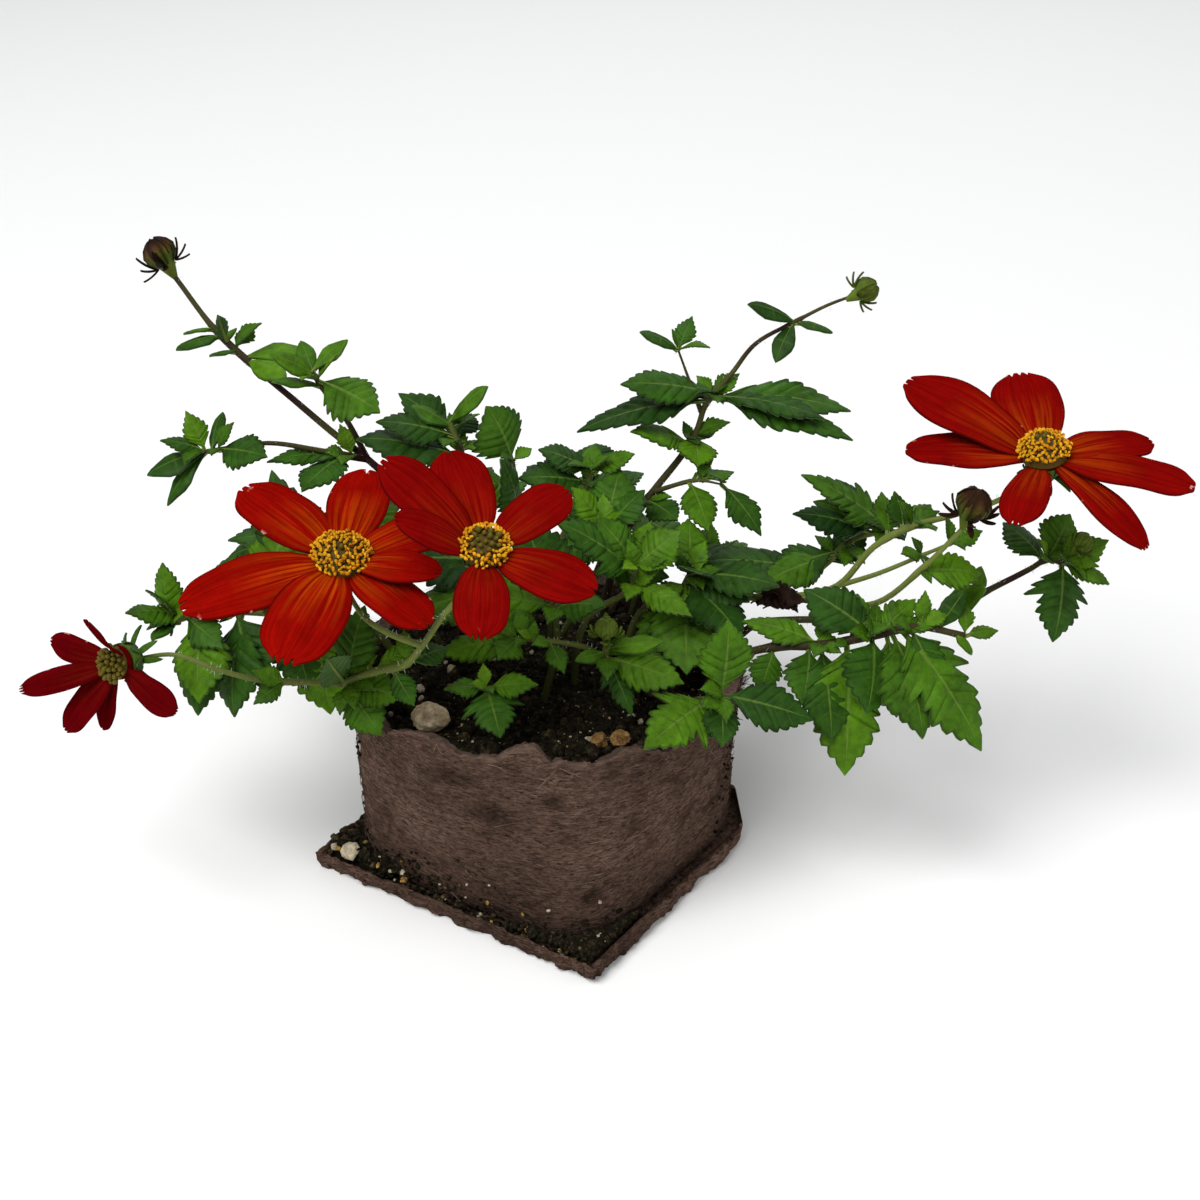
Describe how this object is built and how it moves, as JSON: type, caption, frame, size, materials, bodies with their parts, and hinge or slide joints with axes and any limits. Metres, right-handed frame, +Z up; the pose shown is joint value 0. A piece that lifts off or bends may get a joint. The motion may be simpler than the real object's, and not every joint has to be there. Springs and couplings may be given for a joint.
{
  "type": "potted bidens",
  "caption": "Bedding plant with notched red flowers, dark buds and toothed leaves on arching stems, in a worn pressed-fibre pot with a round rim and square base, on a square fibre tray.",
  "frame": {"origin": "middle of the tray's underside, under the pot's axis", "axes": "+Z up, -Y towards the front, where the two large flowers lean out, +X along the plant's widest spread"},
  "size_m": [0.2236, 0.1304, 0.1195],
  "materials": {
    "fibre": "matt pressed fibre",
    "soil": "matt, crumbly",
    "leaf": "satin, fine hairs",
    "petal": "satin",
    "disc": "matt",
    "bud": "satin",
    "stone": "matt"
  },
  "bodies": {
    "root": {"tray": "fibre", "pot": "fibre", "soil": "soil", "spilled_soil_left": "soil", "spilled_soil_front": "soil", "stone_white": "stone", "stone_tan_left": "stone", "stone_tan_right": "stone", "shoot_back_left": "leaf", "shoot_left": "leaf", "shoot_front_left": "leaf", "shoot_front_sprig": "leaf", "shoot_front_centre": "leaf", "shoot_front_right": "leaf", "shoot_right_hub": "leaf", "shoot_right_far": "leaf", "shoot_right_flower": "leaf", "shoot_right_upper": "leaf", "shoot_tall_right": "leaf", "shoot_centre": "leaf", "shoot_centre_right": "leaf", "shoot_centre_left": "leaf", "shoot_centre_back": "leaf", "shoot_under_flowers": "leaf", "shoot_middle": "leaf", "shoot_rear_a": "leaf", "shoot_rear_b": "leaf", "shoot_rear_c": "leaf", "shoot_rear_d": "leaf", "petals_left": "petal", "petals_centre": "petal", "petals_right": "petal", "petals_far_left": "petal", "disc_left": "disc", "disc_centre": "disc", "disc_right": "disc", "disc_far_left": "disc", "bud_back_left": "bud", "bud_right": "bud"}
  },
  "joints": []
}
